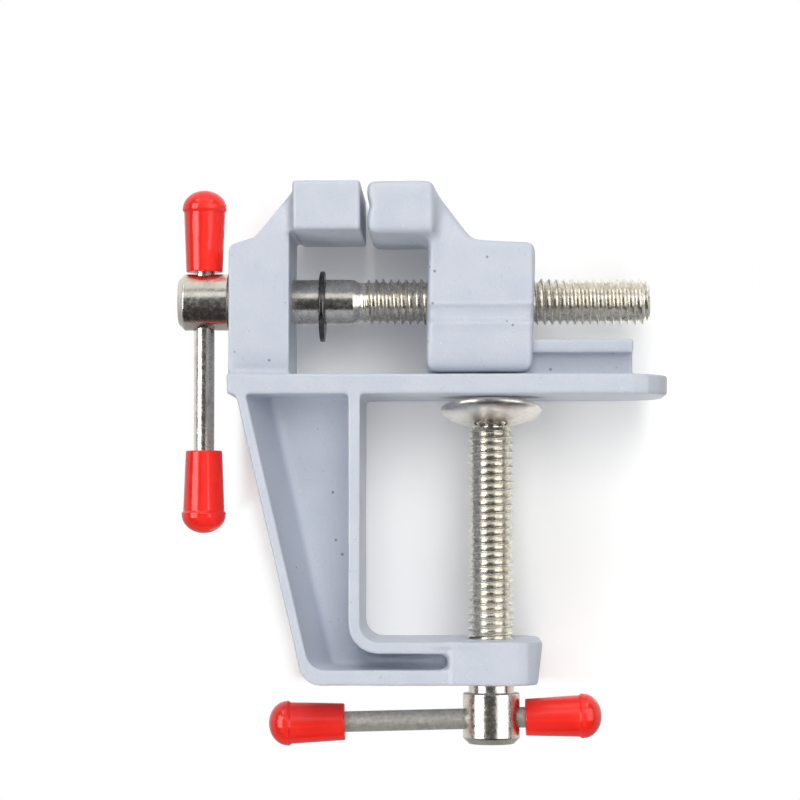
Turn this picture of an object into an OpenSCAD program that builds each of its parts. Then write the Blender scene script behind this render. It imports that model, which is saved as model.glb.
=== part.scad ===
// Mini table vise. A cast frame carries the fixed jaw, a T-shaped guide rail and a C-shaped
// clamp. A long screw drives the moving jaw along the rail, and a second screw with a swivel
// pad grips the edge of a table. Both screws turn by a sliding bar with two soft end caps.
// Millimetres. X runs along the jaws, Z is up, and the side seen in the picture faces -Y.
// The origin lies on the clamp screw's axis, in the plane where the bed rests on the table.

/* [Bed and rail] */
// Depth of the casting, front to back, at the bed, the jaws and the clamp's rims
frame_depth = 30; // [28:0.5:36]
// From the clamp screw's axis to the bed's free end
bed_reach = 28.8; // [26:0.2:34]
// Thickness of the bed
bed_thickness = 3.2; // [2.6:0.1:4.5]
// How far the bed's closed end stands back from the fixed jaw's outer face
bed_setback = 0.1; // [0.1:0.1:0.6]
// Radius of the bed's two free corners, seen from above
bed_corner_r = 8.7; // [2:0.1:10]
// Radius of the bed's other corners
bed_edge_r = 0.5; // [0.2:0.1:1.5]
// From the clamp screw's axis to the rail's free end
rail_reach = 23.2; // [18:0.2:25]
// From the clamp screw's axis to the rail's other end, which the closed moving jaw hides
rail_back = 10.2; // [6:0.2:10.2]
// Height of the rail above the bed
rail_height = 6; // [5:0.1:6.5]
// Width of the rail's head
rail_head_w = 16; // [13:0.2:17.4]
// Thickness of the rail's head
rail_head_t = 2.2; // [1.6:0.1:3]
// Width of the rail's web under its head
rail_web_w = 11; // [8:0.2:12]

/* [Fixed jaw] */
// From the clamp screw's axis to the fixed jaw's outer face
fixed_jaw_reach = 42.8; // [42:0.1:46]
// Thickness of the wall that holds the jaw screw, along the jaws
fixed_wall_t = 9.9; // [8:0.1:10.4]
// Height of the wall's outer shoulder above the table plane
fixed_shoulder_z = 24.4; // [23:0.1:25]
// Height of the wall's top where the gusset starts
fixed_top_z = 25.8; // [25.4:0.1:26.4]
// Length of the gusset's foot along the wall's top, from the outer face
fixed_gusset_x = 4.4; // [3.5:0.1:6]
// Width of both jaws' bodies, front to back
jaw_body_w = 22; // [21:0.5:26]
// Radius of the fillet where the fixed jaw stands on the bed
foot_fillet_r = 1.2; // [0.6:0.1:1.8]
// Radius of the corners along the outline of both jaws' gussets
gusset_r = 1.5; // [0.5:0.1:2]
// How far both gussets stop below the jaws' tops
gusset_drop = 1.5; // [1:0.1:3]

/* [Jaw blocks] */
// Height of both jaws' tops above the table plane
jaw_top_z = 34.8; // [33.9:0.1:38]
// Length of each jaw block, along the jaws
jaw_block_len = 11; // [9:0.1:12]
// From the fixed wall's inner face to the back of its jaw block
fixed_block_offset = 0.7; // [0.2:0.1:1.2]
// Height of the fixed jaw's block
fixed_block_h = 8.5; // [6.5:0.1:8.8]
// Height of the moving jaw's block
moving_block_h = 9.1; // [7:0.1:9.3]
// How far the blocks' tops and undersides fall away from the middle to the sides
block_draft = 0.25; // [0:0.05:0.5]
// Radius of the blocks' edges
block_edge_r = 0.7; // [0.3:0.1:1.2]
// Radius of the fillet between a block's back and its gusset
block_fillet_r = 2.3; // [1:0.1:3]
// Gap between the two jaws as they stand
jaw_gap = 1.04; // [0.4:0.02:3]
// Height of the groove for round work in the moving jaw's face, above the table plane
grip_groove_z = 30.5; // [29.5:0.1:32]
// Depth of that groove
grip_groove_depth = 0.9; // [0.4:0.1:1.4]
// Angle between that groove's two sides, in degrees
grip_groove_angle = 90; // [60:5:120]

/* [Moving jaw] */
// Length of the moving jaw's body, along the jaws
moving_body_len = 17.5; // [14:0.1:20]
// From the block's gripping face to the body's inner face
moving_body_offset = 9.9; // [8:0.1:10.3]
// Height of the body's top at the gusset, above the table plane
moving_top_z = 25.4; // [24.4:0.1:25.6]
// How far the body's top falls from the gusset to the free end
moving_top_fall = 0.5; // [0:0.1:1]
// Length of the gusset's foot, from the body's inner face
moving_gusset_x = 7.2; // [5.6:0.1:9]
// Lean of the body's two end faces from top to bottom
moving_draft = 0.5; // [0:0.1:0.8]
// How far the body's lower part stands out past its upper part, on each side
moving_step = 0.3; // [0.1:0.05:0.9]
// Height of the upper edge of the sunken band between the two, above the table plane
moving_band_z = 15; // [14:0.1:16]
// Height of that band, whose depth grows downwards
moving_band_h = 1.8; // [0.8:0.1:3]
// Depth of that band at its lower edge
moving_band_d = 0.6; // [0.1:0.05:0.8]
// Height of the slope from the band out to the lower part
moving_ledge_h = 0.3; // [0.1:0.1:0.8]
// Radius of the moving jaw's lower corner at its free end
moving_foot_r = 1.5; // [0.5:0.1:2]
// Radius of the moving jaw's other corners, seen from the front
moving_edge_r = 0.6; // [0.3:0.1:1]

/* [C-shaped clamp] */
// Opening between the bed's underside and the lower arm
throat_height = 39.9; // [34:0.1:46]
// From the clamp screw's axis to the throat's back
throat_depth = 21.2; // [18:0.1:23]
// Thickness of the flange along the throat
inner_flange_t = 1.9; // [1.4:0.1:2.4]
// Thickness of the outer flange, measured level
outer_flange_t = 1.6; // [1.2:0.1:2.4]
// Thickness of the lower arm, top to bottom
arm_height = 7; // [6.4:0.1:9]
// Thickness of the lower arm's bottom flange
arm_bottom_t = 2.5; // [1.6:0.1:2.8]
// From the fixed jaw's outer face to the leg's upper corner, along the jaws
leg_top_inset = 1.75; // [1:0.05:3]
// Depth of the leg's upper corner under the table plane
leg_top_drop = 0.9; // [0.5:0.1:2]
// Radius of the leg's upper corner
leg_top_r = 2; // [1:0.1:3]
// Radius of the leg's lower corner
leg_bottom_r = 3.5; // [2:0.1:4]
// Slope of the outer flange: how far it runs inwards over the leg's whole height
leg_lean = 10.8; // [8:0.1:13]
// Thickness of the web in the middle of the leg
web_t = 4; // [3:0.2:6]
// How far the outer flange's inner side slopes in from its rim to the web
flange_draft = 3; // [1:0.1:4]
// How far the outer flange's inner side starts behind its rim
flange_rim = 0.4; // [0.2:0.1:1]
// Radius of the pocket's lower corner at the leg
pocket_r = 3; // [1.5:0.1:4]
// Radius of the pocket's sharper corners
pocket_edge_r = 0.5; // [0.3:0.1:1]
// Radius of the throat's lower corner
throat_corner_r = 2.9; // [1:0.1:4]
// Depth of the lower arm's slot where it ends at the boss; it deepens towards the leg's pocket
slot_end_depth = 5; // [2:0.2:10]
// Length of the boss for the clamp screw past the screw's axis
boss_reach = 8.3; // [7:0.1:11]
// How far the boss's end falls away to its underside
boss_draft = 0.9; // [0:0.1:1.5]
// From the clamp screw's axis to the boss's inner side
boss_inner = 7.05; // [6:0.1:8]
// Radius of the boss's two free corners, seen from above
boss_corner_r = 6.2; // [2:0.1:7]

/* [Screws] */
// Pitch of both threads
thread_pitch = 1.25; // [1:0.05:1.5]
// Outer diameter of both threads
thread_d = 7.8; // [7.5:0.1:8.2]
// Depth of both threads
thread_depth = 0.75; // [0.4:0.05:0.75]
// Height of the jaw screw's axis above the table plane
jaw_screw_z = 15.9; // [15.3:0.1:16.5]
// Length of the jaw screw's smooth shank, from its head's shoulder
jaw_shank_len = 21.6; // [18:0.1:22]
// Length of the jaw screw's thread
jaw_thread_len = 48.2; // [40:0.2:52]
// Diameter of both screws' smooth shanks
shank_d = 7.5; // [6.8:0.1:7.6]
// Length of the clamp screw's smooth shank, from its head's shoulder
clamp_shank_len = 1.3; // [0.6:0.1:2]
// Gap between the clamp screw's head and the lower arm as it stands
clamp_head_gap = 1.9; // [1.6:0.1:6]
// Diameter of both screws' heads
head_d = 9.4; // [8.6:0.1:10]
// Length of both screws' heads
head_len = 8.4; // [7.6:0.1:10]
// Bevel at the outer end of both heads
head_bevel = 1; // [0.2:0.1:1.2]
// Bevel at the shoulder of both heads
shoulder_bevel = 0.2; // [0.1:0.1:0.4]

/* [Washer and ring] */
// Outer diameter of the washer between the jaw screw's head and the fixed jaw
washer_d = 10.6; // [9.8:0.1:12]
// Thickness of that washer
washer_t = 0.6; // [0.4:0.1:1]
// Outer diameter of the retaining ring
ring_d = 11.8; // [10:0.1:13]
// Thickness of the retaining ring
ring_t = 0.9; // [0.6:0.1:1.2]
// Diameter of the groove that the ring sits in
ring_groove_d = 6.2; // [5.6:0.1:6.6]
// From the fixed wall's inner face to the ring
ring_offset = 4.5; // [1:0.1:6]
// How far the retaining ring's outer edge hangs lower than the groove, since it is off centre
ring_drop = 0.75; // [0:0.05:0.8]
// Width of the retaining ring's mouth
ring_mouth_w = 5; // [4:0.1:5.4]

/* [Turning bars and caps] */
// Diameter of both turning bars
bar_d = 3.4; // [3:0.1:3.6]
// Length of the jaw screw's bar over its two caps
jaw_bar_len = 57.1; // [50:0.1:64]
// Length of the clamp screw's bar over its two caps
clamp_bar_len = 55; // [50:0.1:64]
// How far the clamp bar's right end stands out past the head's axis, cap included
clamp_bar_out = 18.2; // [18.1:0.1:27]
// Tilt of the clamp bar in its loose hole, in degrees, its long end hanging lower
clamp_bar_tilt = 1.5; // [0:0.1:2]
// Length of an end cap on the jaw screw's bar
jaw_cap_len = 13.7; // [10:0.1:13.8]
// Length of an end cap on the clamp screw's bar
clamp_cap_len = 12.6; // [10:0.1:13.5]
// Diameter of an end cap at its shoulder
cap_d = 7.4; // [6.4:0.1:8]
// Diameter of an end cap at its open end
cap_mouth_d = 6; // [5:0.1:6.4]
// Height of an end cap's dome
cap_dome_h = 3.1; // [2:0.1:3.4]
// Thickness of an end cap's dome at its tip
cap_end_t = 2.6; // [1.5:0.1:3]
// Rounding of an end cap's open end
cap_lip = 0.25; // [0.1:0.05:0.4]
// Height of the small ridge round an end cap's shoulder
cap_ridge = 0.12; // [0:0.02:0.3]
// Bevel at both ends of a turning bar
bar_bevel = 0.3; // [0.1:0.1:0.6]

/* [Swivel pad] */
// Diameter of the pad
pad_d = 16.8; // [14:0.2:20]
// Depth of the pad's dish
pad_depth = 2.9; // [2.6:0.1:3.4]
// Thickness of the pad's sheet
pad_t = 0.8; // [0.5:0.1:0.9]
// Diameter of the ball that the pad swivels on
ball_d = 6.2; // [5.8:0.1:6.6]
// From the ball's centre to its flat lower face
ball_below = 2.3; // [2:0.1:2.5]
// From the ball's centre to its flat upper face
ball_above = 0.35; // [0.2:0.05:0.5]
// Diameter of the clamp screw's pin, which turns in the ball
pin_d = 3.2; // [2.4:0.1:3.6]
// Diameter of the pin's spread head
pin_head_d = 4.4; // [3.6:0.1:4.8]
// Thickness of the pin's spread head
pin_head_t = 0.25; // [0.2:0.05:0.4]
// Length of the neck between the clamp screw's thread and the ball
neck_len = 0.2; // [0.1:0.05:0.6]
// Depth of the ball's centre under the table plane
ball_drop = 2.45; // [2.4:0.05:4]
// Height of the pad's rim above the ball's centre, with the pad level
pad_rim_rise = 0.8; // [0.7:0.05:1]
// Tilt of the pad as it stands, in degrees, its front edge up
pad_tilt = 10.3; // [0:0.1:10.5]

/* [Clearances] */
// Gap between the moving jaw and the rail and bed, on each side
slide_gap = 0.25; // [0.15:0.05:0.4]
// Gap all round between a thread and its tapped hole
thread_gap = 0.08; // [0.05:0.01:0.12]
// Gap all round between the jaw screw's shank and its plain hole
shank_gap = 0.1; // [0.05:0.05:0.3]
// Gap all round between a turning bar and its hole
bar_gap = 0.25; // [0.2:0.05:0.4]
// Gap between pieces that bear on each other and turn
bearing_gap = 0.05; // [0.03:0.01:0.1]
// Gap all round between a cap's hole and its bar
cap_gap = 0.02; // [0.01:0.01:0.05]
// Gap between the jaw bar's upper cap and the head that it rests on
cap_rest_gap = 0.3; // [0.05:0.05:0.6]

/* [Hidden] */

$fn = 48;
// Steps along a rounded corner of an outline
corner_steps = 5;
// Columns round a thread
thread_columns = 16;
// Lengthens a cut past the surface that it opens
over = 1;
// Sinks one piece of a union into the next
sink = 0.5;

casting_colour = [0.80, 0.82, 0.86];
steel_colour = [0.80, 0.79, 0.76];
ring_colour = [0.12, 0.12, 0.13];
cap_colour = [0.94, 0.14, 0.11];

half_depth = frame_depth / 2;
body_half = jaw_body_w / 2;

// Fixed jaw, measured along X from the clamp screw's axis
fixed_outer_x = -fixed_jaw_reach;
bed_end_x = fixed_outer_x + bed_setback;
fixed_inner_x = fixed_outer_x + fixed_wall_t;
fixed_block_x = fixed_inner_x + fixed_block_offset;
grip_x = fixed_block_x + jaw_block_len;
fixed_block_z = jaw_top_z - fixed_block_h;
gusset_top_z = jaw_top_z - gusset_drop;

// Moving jaw
moving_grip_x = grip_x + jaw_gap;
moving_back_x = moving_grip_x + jaw_block_len;
moving_body_x = moving_grip_x + moving_body_offset;
moving_end_x = moving_body_x + moving_body_len;
moving_block_z = jaw_top_z - moving_block_h;
moving_bottom_z = bed_thickness + 2 * slide_gap;

// Rail, as heights above the table plane
rail_top_z = bed_thickness + rail_height;
rail_neck_z = rail_top_z - rail_head_t;

// Lower arm and leg
arm_top_z = -throat_height;
arm_bottom_z = arm_top_z - arm_height;
pocket_bottom_z = arm_bottom_z + arm_bottom_t;
slot_top_z = arm_top_z - inner_flange_t;
leg_top_x = fixed_outer_x + leg_top_inset;
leg_top_z = -leg_top_drop;
leg_bottom_x = leg_top_x + leg_lean;
pocket_back_x = -throat_depth - inner_flange_t;

// Screws. The jaw screw's head bears on the washer, and the washer on the fixed jaw
washer_x = fixed_outer_x - bearing_gap;
jaw_shoulder_x = washer_x - washer_t - bearing_gap;
jaw_hole_x = jaw_shoulder_x - head_len / 2;
clamp_shoulder_z = arm_bottom_z - clamp_head_gap;
clamp_hole_z = clamp_shoulder_z - head_len / 2;
ring_x = fixed_inner_x + ring_offset;
bar_hole_d = bar_d + 2 * bar_gap;

// Swivel pad, as heights above the table plane
ball_z = -ball_drop;
ball_low_z = ball_z - ball_below;
ball_high_z = ball_z + ball_above;
neck_d = 2 * sqrt(pow(ball_d / 2, 2) - pow(ball_below, 2));
clamp_thread_top_z = ball_low_z - bearing_gap - neck_len;
clamp_thread_len = clamp_thread_top_z - clamp_shoulder_z - clamp_shank_len;

// Bars
jaw_bar_top_z = jaw_screw_z + head_d / 2 + cap_rest_gap + jaw_cap_len;
jaw_bar_bottom_z = jaw_bar_top_z - jaw_bar_len;

// Rounded outlines: a corner is [x, y, radius]
function unit(v) = v / norm(v);
function flat(p) = [p[0], p[1]];
function arc(centre, from, to, turn) =
    let (start = atan2(from[1] - centre[1], from[0] - centre[0]), r = norm(from - centre))
    [for (k = [0:corner_steps])
        centre + r * [cos(start + turn * k / corner_steps), sin(start + turn * k / corner_steps)]];
function round_corner(before, corner, after) =
    let (
        tip = flat(corner),
        back = unit(flat(before) - tip),
        ahead = unit(flat(after) - tip),
        half = acos(back * ahead) / 2,
        centre = tip + unit(back + ahead) * corner[2] / sin(half),
        from = tip + back * corner[2] / tan(half),
        to = tip + ahead * corner[2] / tan(half),
        side = sign(cross(from - centre, to - centre))
    )
    arc(centre, from, to, side * (180 - 2 * half));
function rounded(corners) =
    let (n = len(corners))
    [for (i = [0:n - 1])
        each corners[i][2] == 0
            ? [flat(corners[i])]
            : round_corner(corners[(i + n - 1) % n], corners[i], corners[(i + 1) % n])];

// An outline in X and Z, given depth along Y
module along_y(depth) {
    rotate([90, 0, 0])
        linear_extrude(depth, center = true)
            children();
}

// An outline in Y and Z, given length along X from one place to another
module along_x(from, to) {
    translate([from, 0, 0])
        rotate([90, 0, 90])
            linear_extrude(to - from)
                children();
}

// An outline in X and Y, given height along Z from one place to another
module along_z(from, to) {
    translate([0, 0, from])
        linear_extrude(to - from)
            children();
}

// A pin or hole along X from one place to another
module rod_x(from, to, d) {
    translate([from, 0, 0])
        rotate([0, 90, 0])
            cylinder(h = to - from, d = d);
}

// Both sides of the casting, front and back
module front_and_back() {
    children();
    mirror([0, 1, 0])
        children();
}

// A jaw block with rounded edges. Its top and underside fall away from the middle
module jaw_block(x, z, height) {
    end = x + jaw_block_len;
    top = z + height;
    r = block_edge_r;
    intersection() {
        along_y(frame_depth)
            polygon(rounded([[x, z, r], [end, z, r], [end, top, r], [x, top, r]]));
        along_z(z, top)
            polygon(rounded([
                [x, -half_depth, r], [end, -half_depth, r],
                [end, half_depth, r], [x, half_depth, r]
            ]));
        along_x(x, end)
            polygon(rounded([
                [-half_depth, z + block_draft, r], [0, z, 0], [half_depth, z + block_draft, r],
                [half_depth, top - block_draft, r], [0, top, 0], [-half_depth, top - block_draft, r]
            ]));
    }
}

// The concave fillet between a block's back at x and its gusset, which lies towards side
module block_fillet(x, z, side) {
    r = block_fillet_r;
    reach = min(r, half_depth - body_half - block_edge_r);
    front_and_back()
        translate([x, -body_half, 0])
            along_z(z, jaw_top_z)
                polygon([
                    [-side * sink, sink], [-side * sink, -reach],
                    for (a = [0:15:90]) [side * r * (1 - cos(a)), -reach * (1 - sin(a))],
                    [side * r, sink]
                ]);
}

// Frame: bed, rail, fixed jaw and clamp in one casting
module bed() {
    along_z(0, bed_thickness)
        polygon(rounded([
            [bed_end_x, -half_depth, bed_edge_r], [bed_reach, -half_depth, bed_corner_r],
            [bed_reach, half_depth, bed_corner_r], [bed_end_x, half_depth, bed_edge_r]
        ]));
}

module rail_section(gap) {
    head = rail_head_w / 2 + gap;
    web = rail_web_w / 2 + gap;
    polygon([
        [-web, bed_thickness - sink], [web, bed_thickness - sink],
        [web, rail_neck_z - gap], [head, rail_neck_z - gap],
        [head, rail_top_z + gap], [-head, rail_top_z + gap],
        [-head, rail_neck_z - gap], [-web, rail_neck_z - gap]
    ]);
}

module rail() {
    along_x(-rail_back, rail_reach)
        rail_section(0);
}

module fixed_gusset_outline() {
    polygon(rounded([
        [fixed_outer_x, bed_thickness - sink, 0], [fixed_outer_x, fixed_shoulder_z, gusset_r],
        [fixed_outer_x + fixed_gusset_x, fixed_top_z, gusset_r], [fixed_block_x, gusset_top_z, 0],
        [fixed_block_x + sink, gusset_top_z, 0], [fixed_block_x + sink, fixed_block_z + sink, 0],
        [fixed_inner_x, fixed_block_z + sink, 0], [fixed_inner_x, bed_thickness - sink, 0]
    ]));
}

module foot_fillet() {
    r = foot_fillet_r;
    front_and_back()
        along_x(bed_end_x + bed_setback, fixed_inner_x)
            polygon([
                [-body_half + sink, bed_thickness - sink], [-body_half - r, bed_thickness - sink],
                for (a = [0:15:90]) [-body_half - r * (1 - sin(a)), bed_thickness + r * (1 - cos(a))],
                [-body_half + sink, bed_thickness + r]
            ]);
}

module fixed_jaw() {
    along_y(jaw_body_w)
        fixed_gusset_outline();
    foot_fillet();
    jaw_block(fixed_block_x, fixed_block_z, fixed_block_h);
    intersection() {
        block_fillet(fixed_block_x, fixed_block_z, -1);
        along_y(frame_depth)
            fixed_gusset_outline();
    }
}

module clamp_outline() {
    polygon(rounded([
        [bed_end_x, bed_thickness, 0], [bed_end_x, bed_thickness / 2, bed_edge_r],
        [leg_top_x, leg_top_z, leg_top_r], [leg_bottom_x, arm_bottom_z, leg_bottom_r],
        [boss_reach - boss_draft, arm_bottom_z, bed_edge_r], [boss_reach, arm_top_z, bed_edge_r],
        [-throat_depth, arm_top_z, throat_corner_r], [-throat_depth, 0, bed_edge_r],
        [-throat_depth + over, 0, 0], [-throat_depth + over, bed_thickness, 0]
    ]));
}

// The leg's inner line: where the pocket meets the outer flange at height z
function pocket_left_x(z) =
    leg_top_x + outer_flange_t + leg_lean * (leg_top_z - z) / (leg_top_z - arm_bottom_z);

module pocket_outline() {
    polygon(rounded([
        [pocket_left_x(0), 0, pocket_edge_r], [pocket_left_x(pocket_bottom_z), pocket_bottom_z, pocket_r],
        [-boss_inner, pocket_bottom_z, pocket_edge_r], [-boss_inner, slot_top_z, pocket_edge_r],
        [pocket_back_x, slot_top_z, throat_corner_r + inner_flange_t], [pocket_back_x, 0, pocket_edge_r]
    ]));
}

// The outer flange's inner side, which slopes in from the rim to the web
module flange_slope() {
    lean = atan2(leg_lean, leg_top_z - arm_bottom_z);
    foot = (pocket_bottom_z - sink) / cos(lean);
    rim = -half_depth + flange_rim;
    front_and_back()
        translate([pocket_left_x(0), 0, 0])
            rotate([0, -lean, 0])
                along_z(foot, sink)
                    polygon([
                        [-sink, -web_t / 2 + sink], [-sink, rim], [0, rim],
                        [flange_draft, -web_t / 2], [flange_draft, -web_t / 2 + sink]
                    ]);
}

// The slot's floor, which rises from the leg's web towards the boss
module slot_floor() {
    front_and_back()
        along_z(pocket_bottom_z - sink, slot_top_z + sink)
            polygon([
                [pocket_back_x, -web_t / 2 + sink], [pocket_back_x, -web_t / 2],
                [-boss_inner + sink, -half_depth + slot_end_depth], [-boss_inner + sink, -web_t / 2 + sink]
            ]);
}

module clamp_arm() {
    intersection() {
        along_y(frame_depth)
            clamp_outline();
        along_z(arm_bottom_z, bed_thickness)
            polygon(rounded([
                [fixed_outer_x, -half_depth, 0], [boss_reach, -half_depth, boss_corner_r],
                [boss_reach, half_depth, boss_corner_r], [fixed_outer_x, half_depth, 0]
            ]));
    }
}

module clamp_pockets() {
    deep = half_depth - web_t / 2 + over;
    front_and_back()
        translate([0, -web_t / 2 - deep / 2, 0])
            along_y(deep)
                pocket_outline();
}

module frame() {
    color(casting_colour)
        difference() {
            union() {
                bed();
                rail();
                fixed_jaw();
                difference() {
                    clamp_arm();
                    clamp_pockets();
                }
                intersection() {
                    clamp_arm();
                    flange_slope();
                }
                slot_floor();
            }
            translate([0, 0, jaw_screw_z])
                rod_x(fixed_outer_x - over, fixed_inner_x + over, shank_d + 2 * shank_gap);
            translate([0, 0, arm_bottom_z - over])
                cylinder(h = arm_height + 2 * over, d = thread_d + 2 * thread_gap);
        }
}

// Moving jaw: a body that wraps the rail, with a gusset up to its block
module moving_outline() {
    polygon(rounded([
        [moving_body_x - moving_draft, moving_bottom_z, moving_edge_r],
        [moving_end_x - moving_draft, moving_bottom_z, moving_foot_r],
        [moving_end_x, moving_top_z - moving_top_fall, moving_edge_r],
        [moving_body_x + moving_gusset_x, moving_top_z, gusset_r],
        [moving_back_x, gusset_top_z, 0], [moving_back_x - sink, gusset_top_z, 0],
        [moving_back_x - sink, moving_block_z + sink, 0], [moving_body_x, moving_block_z + sink, 0]
    ]));
}

module moving_section() {
    wide = body_half + moving_step;
    sunk = body_half - moving_band_d;
    low = moving_band_z - moving_band_h;
    ledge = low - moving_ledge_h;
    polygon([
        [-wide, moving_bottom_z], [wide, moving_bottom_z], [wide, ledge], [sunk, low],
        [body_half, moving_band_z], [body_half, jaw_top_z], [-body_half, jaw_top_z],
        [-body_half, moving_band_z], [-sunk, low], [-wide, ledge]
    ]);
}

module grip_groove() {
    half_mouth = grip_groove_depth * tan(grip_groove_angle / 2);
    translate([moving_grip_x, 0, grip_groove_z])
        along_y(frame_depth + over)
            polygon([
                [-sink, -half_mouth], [0, -half_mouth], [grip_groove_depth, 0],
                [0, half_mouth], [-sink, half_mouth]
            ]);
}

module moving_jaw() {
    color(casting_colour)
        difference() {
            union() {
                intersection() {
                    along_y(frame_depth)
                        moving_outline();
                    along_x(moving_body_x - over, moving_end_x + over)
                        moving_section();
                }
                jaw_block(moving_grip_x, moving_block_z, moving_block_h);
                intersection() {
                    block_fillet(moving_back_x, moving_block_z, 1);
                    along_y(frame_depth)
                        moving_outline();
                }
            }
            along_x(moving_body_x - over, moving_end_x + over)
                rail_section(slide_gap);
            translate([0, 0, jaw_screw_z])
                rod_x(moving_body_x - over, moving_end_x + over, thread_d + 2 * thread_gap);
            grip_groove();
        }
}

// A threaded rod along +Z with flat ends. Its surface is a grid of columns round the rod.
// In each column the rows climb along the helix, and the last column meets the first one
// a turn higher. The thread grows out of the core in its first turn and sinks in its last.
// A profile point is [share of a pitch, share of the thread's depth]
thread_profile = [[0, 0], [0.38, 1], [0.62, 1]];
// Plain core before the first turn, at least, and after the last
thread_lead_in = 0.7;
thread_lead_out = 0.15;

module threaded_rod(length) {
    n = thread_columns;
    rows_per_turn = len(thread_profile);
    core_r = thread_d / 2 - thread_depth;
    turns = floor((length - thread_lead_in - thread_lead_out) / thread_pitch) - 1;
    rows = turns * rows_per_turn + 1;
    first_z = length - thread_lead_out - (turns + 1) * thread_pitch;

    function place(row, column) =
        floor((row - 1) / rows_per_turn) + thread_profile[(row - 1) % rows_per_turn][0]
            + column / n;
    function growth(at) = max(0, min(1, at, turns + 1 - at));
    function radius(row, column) =
        core_r + thread_depth * growth(place(row, column))
            * thread_profile[(row - 1) % rows_per_turn][1];
    function vertex(r, column, z) = [r * cos(360 * column / n), r * sin(360 * column / n), z];
    function at(column, row) = column * (rows + 2) + row;

    points = [for (column = [0:n - 1]) each [
        vertex(core_r, column, 0),
        for (row = [1:rows])
            vertex(radius(row, column), column, first_z + thread_pitch * place(row, column)),
        vertex(core_r, column, length)
    ]];
    sides = [for (c = [0:n - 2], row = [0:rows]) each [
        [at(c, row), at(c, row + 1), at(c + 1, row + 1)],
        [at(c, row), at(c + 1, row + 1), at(c + 1, row)]
    ]];
    seam = [for (row = [1:rows - rows_per_turn - 1]) each [
        [at(n - 1, row), at(n - 1, row + 1), at(0, row + rows_per_turn + 1)],
        [at(n - 1, row), at(0, row + rows_per_turn + 1), at(0, row + rows_per_turn)]
    ]];
    first_turn = [
        for (row = [0:rows_per_turn]) [at(n - 1, 0), at(0, row + 1), at(0, row)],
        [at(n - 1, 0), at(n - 1, 1), at(0, rows_per_turn + 1)]
    ];
    last_turn = [
        for (row = [rows - rows_per_turn:rows]) [at(n - 1, row), at(n - 1, row + 1), at(0, rows + 1)],
        [at(n - 1, rows - rows_per_turn), at(0, rows + 1), at(0, rows)]
    ];
    ends = [
        [for (c = [0:n - 1]) at(c, 0)],
        [for (c = [n - 1:-1:0]) at(c, rows + 1)]
    ];
    polyhedron(points, concat(sides, seam, first_turn, last_turn, ends));
}

// A screw's head along -Z from its shoulder at 0, with a cross hole for the bar along X
module screw_head() {
    r = head_d / 2;
    difference() {
        rotate_extrude()
            polygon([
                [0, 0], [r - shoulder_bevel, 0], [r, -shoulder_bevel], [r, -head_len + head_bevel],
                [r - head_bevel, -head_len], [0, -head_len]
            ]);
        translate([0, 0, -head_len / 2])
            rod_x(-r - over, r + over, bar_hole_d);
    }
}

module jaw_screw() {
    color(steel_colour)
        translate([jaw_shoulder_x, 0, jaw_screw_z])
            rotate([0, 90, 0]) {
                difference() {
                    union() {
                        screw_head();
                        translate([0, 0, -sink])
                            cylinder(h = jaw_shank_len + sink, d = shank_d);
                    }
                    translate([0, 0, ring_x - jaw_shoulder_x - bearing_gap])
                        difference() {
                            cylinder(h = ring_t + 2 * bearing_gap, d = shank_d + over);
                            translate([0, 0, -over])
                                cylinder(h = ring_t + 2 * over, d = ring_groove_d);
                        }
                }
                translate([0, 0, jaw_shank_len - sink])
                    threaded_rod(jaw_thread_len + sink);
            }
}

module thrust_washer() {
    color(steel_colour)
        translate([washer_x - washer_t, 0, jaw_screw_z])
            difference() {
                rod_x(0, washer_t, washer_d);
                rod_x(-over, washer_t + over, shank_d + 2 * shank_gap);
            }
}

// A snap ring: it grips the groove and is open at the back, so that it goes on sideways
module retaining_ring() {
    color(ring_colour)
        translate([ring_x, 0, jaw_screw_z])
            difference() {
                translate([0, 0, -ring_drop])
                    rod_x(0, ring_t, ring_d);
                rod_x(-over, ring_t + over, ring_groove_d + 2 * bearing_gap);
                translate([-over, 0, -ring_mouth_w / 2])
                    cube([ring_t + 2 * over, ring_d, ring_mouth_w]);
            }
}

// A bar along +Z between the inner ends of its two caps, whose tips lie at from and to
module turning_bar(from, to) {
    length = to - from - 2 * cap_end_t;
    r = bar_d / 2;
    color(steel_colour)
        translate([0, 0, from + cap_end_t])
            rotate_extrude()
                polygon([
                    [0, 0], [r - bar_bevel, 0], [r, bar_bevel], [r, length - bar_bevel],
                    [r - bar_bevel, length], [0, length]
                ]);
}

// A soft end cap along +Z: its tip is at 0 and its open end at -length
module end_cap(length) {
    r = cap_d / 2;
    mouth_r = cap_mouth_d / 2;
    shoulder = -cap_dome_h;
    color(cap_colour)
        difference() {
            rotate_extrude()
                polygon([
                    [0, -length], [mouth_r - cap_lip, -length], [mouth_r, -length + cap_lip],
                    [r - cap_ridge, shoulder - 4 * cap_ridge], [r + cap_ridge, shoulder],
                    for (a = [8:12:80]) [r * cos(a), shoulder + cap_dome_h * sin(a)],
                    [0, 0]
                ]);
            translate([0, 0, -length - over])
                cylinder(h = length - cap_end_t + over, d = bar_d + 2 * cap_gap);
        }
}

module at_jaw_bar() {
    translate([jaw_hole_x, 0, 0])
        children();
}

module jaw_bar() {
    at_jaw_bar()
        turning_bar(jaw_bar_bottom_z, jaw_bar_top_z);
}

module jaw_bar_cap_top() {
    at_jaw_bar()
        translate([0, 0, jaw_bar_top_z])
            end_cap(jaw_cap_len);
}

module jaw_bar_cap_bottom() {
    at_jaw_bar()
        translate([0, 0, jaw_bar_bottom_z])
            rotate([180, 0, 0])
                end_cap(jaw_cap_len);
}

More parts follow.
